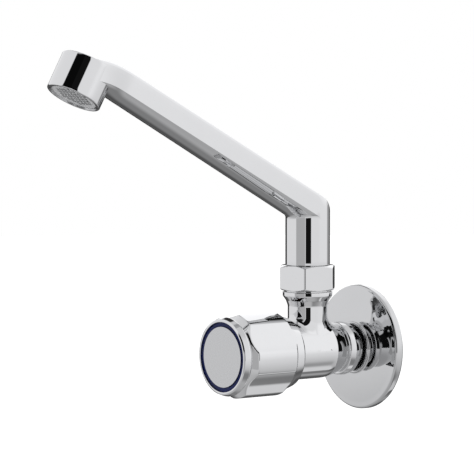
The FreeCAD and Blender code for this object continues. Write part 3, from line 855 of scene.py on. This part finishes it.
    def foot_patch(self) -> Patch:
        """The riser's plain lower stretch, its spigot in the nut and its plug in the neck."""
        outline = soft_profile([
            (self.plug_end, self.plug_bore, 0), (self.plug_end, self.plug_radius, 0.5),
            (self.spigot_foot, self.plug_radius, 0), (self.spigot_foot, self.spigot_radius, 0.3),
            (self.foot, self.spigot_radius, 0), (self.foot, self.radius, 0.25),
            (self.plain_end, self.radius, 0),
        ])
        return turned(RISER, refined(outline, 2.0), 192)

    def build(self, palette: Palette) -> None:
        """Builds the spout and dresses it."""
        patches = self.shell() + [self.head(), self.foot_patch()]
        palette.settle(piece("rising_spout", patches), "chrome", "spout", "spout_tube")


# Aerator

@dataclass
class Aerator:
    """The ring that holds the honeycomb insert in the nozzle."""

    inset: float = 0.4
    length: float = 9.0
    radius: float = 12.15
    wall: float = 0.9

    def build(self, palette: Palette, nozzle: Axis) -> None:
        """Turns the ring's section round the nozzle's axis.

        Args:
            palette: the finishes.
            nozzle: the nozzle's axis.
        """
        inside = self.radius - self.wall
        end = self.inset + self.length
        outline = refined(soft_profile([
            (self.inset, inside, 0.2), (self.inset, self.radius, 0.25), (end, self.radius, 0.1),
            (end, inside, 0.1), (self.inset, inside, 0.2),
        ]), 1.5)
        ring = piece("insert_ring", [turned(nozzle, outline, 192)])
        palette.settle(ring, "chrome", "spout", "aerator_housing")


# Knob

@dataclass
class Knob:
    """The fluted knob with its recessed face."""

    face_radius: float = 17.8
    recess_radius: float = 17.1
    disc_radius: float = 14.8
    recess: float = 2.2
    rim_edge: Pair = (0.4, 18.5)
    collar_radius: float = 19.3
    collar_back: float = 2.8
    collar_flat: float = 0.6
    groove_radius: float = 17.3
    groove_back: float = 3.9
    land_radius: float = 20.7
    land: Pair = (7.6, 30.8)
    ramp: float = 46.0
    rear_radius: float = 19.2
    rear_end_radius: float = 17.3
    length: float = 38.5
    skirt_bore: float = 15.9
    flutes: int = 5
    flute_floor: float = 18.75
    flute_half_angle: float = 21.0
    flute_first: float = -30.0
    hub_back: float = 8.0
    hub_end: float = 24.0
    hub_radius: float = 8.0
    hub_bore: float = 5.7
    skirt_wall: float = 0.8
    crease: Pair = (0.3, 0.2)
    crease_span: Pair = (0.4, 2.0)
    ring_gaps: Pair = (0.02, 0.05)
    ring_rise: Pair = (1.22, 1.38)

    def outline(self) -> Array:
        """The knob's section from the recess round the outside to the hollow behind."""
        tilt = math.tan(math.radians(self.ramp))
        rise = (self.land_radius - self.groove_radius) / tilt
        drop = (self.land_radius - self.rear_radius) / tilt
        start, end = self.land
        return refined(soft_profile([
            (self.recess, 0, 0), (self.recess, self.recess_radius, 0), (0, self.recess_radius, 0.15),
            (0, self.face_radius, 0.2), (*self.rim_edge, 0.3), (self.collar_back, self.collar_radius, 0.8),
            (self.collar_back + self.collar_flat, self.collar_radius, 0.3),
            (self.groove_back, self.groove_radius, 0.05), (start - rise, self.groove_radius, 0.1),
            (start, self.land_radius, 0.8), (end, self.land_radius, 0.6), (end + drop, self.rear_radius, 0.8),
            (self.length, self.rear_end_radius, 0.4), (self.length, self.skirt_bore, 0.3),
            (self.hub_back, self.skirt_bore, 0), (self.hub_back, self.hub_radius, 0),
            (self.hub_end, self.hub_radius, 0.3), (self.hub_end, self.hub_bore, 0),
            (self.hub_back, self.hub_bore, 0),
        ], 6), 0.8)

    def flute(self, angle: Array) -> Array:
        """How far out a flute's round cutter leaves the knob, at an angle.

        The cutter of radius C touches the floor F and the land's edges. A line from the axis at angle a off
        the flute's middle meets it at D * cos(a) - sqrt(C^2 - D^2 * sin(a)^2), where D is F + C.

        Args:
            angle: turns round the knob's axis in radians.

        Returns:
            The distance from the axis at each angle.
        """
        half = math.radians(self.flute_half_angle)
        chord = self.land_radius * math.sin(half)
        sag = self.land_radius * math.cos(half) - self.flute_floor
        cutter = (chord ** 2 + sag ** 2) / (2 * sag)
        centre = self.flute_floor + cutter
        step = 2 * math.pi / self.flutes
        away = np.abs((angle - math.radians(self.flute_first) + step / 2) % step - step / 2)
        return centre * np.cos(away) - np.sqrt(cutter ** 2 - (centre * np.sin(away)) ** 2)

    def build(self, palette: Palette) -> None:
        """The outside's radius is the least of the turned section and the flutes' cutters."""
        outline = self.outline()
        angle = full_turn(480)
        back, turn = np.meshgrid(outline[:, 0], angle)
        radius = np.broadcast_to(outline[:, 1], back.shape)
        start, end = self.crease_span
        near = np.clip(back - self.groove_back - start, 0, 1)
        near = near * np.clip((self.land[0] + end - back) / end, 0, 1)
        fluted = least_of(radius, self.flute(turn), self.crease[0] + self.crease[1] * near)
        cut = (back > self.groove_back) & (radius > self.skirt_bore + self.skirt_wall)
        grid = KNOB.points(back, np.where(cut, fluted, radius), turn)
        palette.settle(piece("fluted_knob", [(grid, True)], 48.0), "chrome", "knob", "knob_shell")
        self.ring(palette)

    def ring(self, palette: Palette) -> None:
        """The blue ring: a flat band whose visible edge is slightly crowned."""
        inner, outer = self.disc_radius + self.ring_gaps[0], self.recess_radius - self.ring_gaps[1]
        edge, crest = (self.recess - rise for rise in self.ring_rise)
        outline = soft_profile([
            (self.recess, inner, 0), (edge, inner, 0.2), (crest, (inner + outer) / 2, 1.5),
            (edge, outer, 0.2), (self.recess, outer, 0), (self.recess, inner, 0),
        ])
        palette.settle(piece("cold_ring", [turned(KNOB, outline, 160)]), "blue_ring", "knob", "index_ring")


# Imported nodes

def dress_nodes(palette: Palette) -> None:
    """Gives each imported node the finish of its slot."""
    for part in frame["record"]["subparts"]:
        node = frame["nodes"][part["node"]]
        palette.dress(node, part["material_slot"])
        LOG.info("%s wears %s", part["node"], part["material_slot"])


# Studio

@dataclass(frozen=True)
class Card:
    """A board in the room, seen from the object: its middle, half sizes and soft edge in degrees."""

    name: str
    across: float
    half_width: float
    up: float
    half_height: float
    soft: float
    light: float


CARDS = [
    Card("side_light", 100, 38, 26, 26, 10, 0.86),
    Card("right_low", 146, 25, -9, 11, 6, 0.30),
    Card("back_white", 168, 34, 28, 25, 8, 0.97),
    Card("back_high_dark", 193, 12, 42, 17, 2.5, 0.03),
    Card("grey_board", -38, 24.5, 1, 27, 1.2, 0.40),
    Card("left_black", -42, 22, 18, 12, 3, 0.01),
    Card("high_black", -21, 37, 38, 11, 2, 0.003),
    Card("camera_black", 3, 14, 18, 26, 1.2, 0.006),
    Card("low_right_dark", 145, 22, -32, 22, 7, 0.10),
    Card("low_back_grey", 180, 40, -42, 28, 10, 0.20),
    Card("low_back_dark", 183, 38, -31, 10, 8, 0.07),
    Card("low_side_dark", 62, 34, -50, 13, 9, 0.20),
    Card("low_lift", 159, 13, -53, 9, 7, 0.39),
    Card("low_patch", 111, 15, -57, 11, 3, 0.62),
    Card("back_dark", 183, 40, -8, 14, 3, 0.035),
]


def card_group() -> Tree:
    """A board's mask: one where both angles are within the half sizes, falling over the soft edge.

    Returns:
        The group, with the two angles and the board's five sizes in radians in, and Mask out.
    """
    labels = ("Across", "Up", "Middle Across", "Half Width", "Middle Up", "Half Height", "Soft")
    tree, start, end = new_group("StudioCard", [], dict.fromkeys(labels, 0.1), ["Mask"])
    masks = []
    for angle, half in (("Across", "Half Width"), ("Up", "Half Height")):
        away = add(tree, "Math", operation="SUBTRACT")
        wrapped = add(tree, "Math", {1: math.pi, 2: -math.pi}, operation="WRAP")
        size = add(tree, "Math", operation="ABSOLUTE")
        inner = add(tree, "Math", operation="SUBTRACT")
        outer = add(tree, "Math", operation="ADD")
        fall = add(tree, "MapRange", {"To Min": 1.0, "To Max": 0.0}, interpolation_type="SMOOTHSTEP")
        wire(tree, (start, angle, away, 0), (start, "Middle " + angle, away, 1), (away, 0, wrapped, 0),
             (wrapped, 0, size, 0))
        for node in (inner, outer):
            wire(tree, (start, half, node, 0), (start, "Soft", node, 1))
        wire(tree, (size, 0, fall, "Value"), (inner, 0, fall, "From Min"), (outer, 0, fall, "From Max"))
        masks.append(fall)
    both = add(tree, "Math", operation="MULTIPLY")
    wire(tree, (masks[0], "Result", both, 0), (masks[1], "Result", both, 1), (both, 0, end, "Mask"))
    return tree


@dataclass
class Studio:
    """The camera, the pale floor, the lamp and the room round them."""

    azimuth: float = 52.394
    elevation: float = 3.923
    distance: float = 1727.98
    target: Triple = (-21.274, -63.618, 56.305)
    focal_pixels: float = 3500.0
    image_pixels: float = 474.0
    floor: float = -46.0
    floor_radius: float = 1500.0
    floor_gray: float = 0.34
    floor_glow: float = 0.82
    floor_bounce: float = 0.8
    lamp_size: float = 0.9
    lamp_energy: float = 4.0
    lamp_place: Triple = (0.35, -0.55, 0.95)
    lamp_aim: Triple = (0, -0.08, 0.05)
    cool: float = 1.01
    room_strength: float = 1.36
    room: list[Pair] = field(default_factory=lambda: [
        (-90, 0.35), (-60, 0.42), (-40, 0.44), (-28, 0.52), (-14, 0.65), (0, 0.74), (46, 0.72), (60, 0.58),
        (90, 0.55)])

    def camera(self) -> None:
        """Sets the camera at the photograph's viewing angle."""
        turn, rise = math.radians(self.azimuth), math.radians(self.elevation)
        back = Vector((math.sin(turn) * math.cos(rise), -math.cos(turn) * math.cos(rise), math.sin(rise)))
        lens = bpy.data.cameras.new("view")
        lens.sensor_width = 36.0
        lens.lens = self.focal_pixels / self.image_pixels * lens.sensor_width
        lens.clip_start, lens.clip_end = 0.05, 20.0
        thing = enter("view", lens)
        thing.location = (Vector(self.target) + back * self.distance) * MM
        thing.rotation_mode = "QUATERNION"
        thing.rotation_quaternion = (-back).to_track_quat("-Z", "Y")
        bpy.context.scene.camera = thing

    def surroundings(self) -> None:
        """Builds the room: a pale wall, the boards on it, and plain white for the camera."""
        world = bpy.data.worlds.new("studio")
        bpy.context.scene.world = world
        world.use_nodes = True
        tree = world.node_tree
        tree.nodes.clear()
        place = add(tree, "TexCoord")
        facing = math.pi / 2 - math.radians(self.azimuth)
        turn = add(tree, "Mapping", {"Rotation": (0, 0, facing)}, vector_type="POINT")
        parts = add(tree, "SeparateXYZ")
        across = add(tree, "Math", operation="ARCTAN2")
        up = add(tree, "Math", operation="ARCSINE")
        spread = add(tree, "MapRange", {"From Min": -math.pi / 2, "From Max": math.pi / 2})
        wall = add(tree, "ValToRGB")
        stops = wall.color_ramp.elements
        while len(stops) < len(self.room):
            stops.new(0.5)
        for stop, (degrees, light) in zip(stops, self.room):
            stop.position = (degrees + 90) / 180
            stop.color = (light, light, light * self.cool, 1)
        wire(tree, (place, "Generated", turn, "Vector"), (turn, "Vector", parts, 0), (parts, "Y", across, 0),
             (parts, "X", across, 1), (parts, "Z", up, 0), (up, 0, spread, "Value"),
             (spread, "Result", wall, "Fac"))
        shown = (wall, "Color")
        group = card_group()
        for card in CARDS:
            mask = add(tree, "Group", node_tree=group, label=card.name)
            sizes = (card.across, card.half_width, card.up, card.half_height, card.soft)
            for socket, value in zip(list(mask.inputs)[2:], sizes):
                socket.default_value = math.radians(value)
            wire(tree, (across, 0, mask, "Across"), (up, 0, mask, "Up"))
            shade = (card.light, card.light, card.light * self.cool, 1)
            over = add(tree, "Mix", {"B": shade}, data_type="RGBA")
            wire(tree, (mask, "Mask", over, "Factor"), (*shown, over, "A"))
            shown = (over, "Result")
        room = add(tree, "Background", {"Strength": self.room_strength})
        white = add(tree, "Background", {"Color": (1, 1, 1, 1)})
        path = add(tree, "LightPath")
        direct = add(tree, "Math", operation="MAXIMUM")
        choice = add(tree, "MixShader")
        out = add(tree, "OutputWorld")
        wire(tree, (*shown, room, "Color"), (path, "Is Camera Ray", direct, 0),
             (path, "Is Transmission Ray", direct, 1), (direct, 0, choice, "Fac"), (room, 0, choice, 1),
             (white, 0, choice, 2), (choice, 0, out, "Surface"))

    def ground(self) -> None:
        """Lays the pale floor with the object's soft shadow, clear to what chrome mirrors."""
        angle = full_turn(96)
        corners = np.stack([np.cos(angle), np.sin(angle), np.zeros_like(angle)], -1) * self.floor_radius
        corners[:, 2] = self.floor
        mesh = bpy.data.meshes.new("floor")
        mesh.from_pydata((corners * MM).tolist(), [], [tuple(range(len(corners)))])
        thing = enter("floor", mesh)
        made = bpy.data.materials.new("PaleFloor")
        made.use_nodes = True
        tree = made.node_tree
        tree.nodes.clear()
        plain = add(tree, "BsdfDiffuse", {"Color": (*[self.floor_gray] * 3, 1)})
        glow = add(tree, "Emission", {"Color": (1, 1, 1, 1), "Strength": self.floor_glow})
        both = add(tree, "AddShader")
        path = add(tree, "LightPath")
        pale = add(tree, "BsdfDiffuse", {"Color": (*[self.floor_bounce] * 3, 1)})
        shown = add(tree, "MixShader")
        clear = add(tree, "BsdfTransparent")
        mirrored = add(tree, "MixShader")
        out = add(tree, "OutputMaterial")
        wire(tree, (plain, 0, both, 0), (glow, 0, both, 1), (path, "Is Camera Ray", shown, "Fac"),
             (pale, 0, shown, 1), (both, 0, shown, 2), (path, "Is Glossy Ray", mirrored, "Fac"),
             (shown, 0, mirrored, 1), (clear, 0, mirrored, 2), (mirrored, 0, out, "Surface"))
        mesh.materials.append(made)

    def lamp(self) -> None:
        """Hangs one large soft lamp above and in front."""
        light = bpy.data.lights.new("softbox", "AREA")
        light.shape = "DISK"
        light.size = self.lamp_size
        light.energy = self.lamp_energy
        thing = enter("softbox", light)
        thing.location = self.lamp_place
        thing.rotation_mode = "QUATERNION"
        aim = Vector(self.lamp_aim) - thing.location
        thing.rotation_quaternion = aim.to_track_quat("-Z", "Y")
        thing.visible_glossy = False

    def build(self) -> None:
        """Builds the whole studio."""
        self.camera()
        self.surroundings()
        self.ground()
        self.lamp()
        bpy.context.scene.view_settings.view_transform = "Standard"


def main() -> None:
    """Builds the pieces in order."""
    logging.basicConfig(level=logging.INFO, format="%(name)s: %(message)s")
    palette = Palette()
    dress_nodes(palette)
    WallFlange().build(palette)
    BodyCasting().build(palette)
    SwivelNut().build(palette)
    spout = Spout()
    spout.build(palette)
    Aerator().build(palette, spout.nozzle())
    Knob().build(palette)
    Studio().build()


if __name__ == "__main__":
    main()
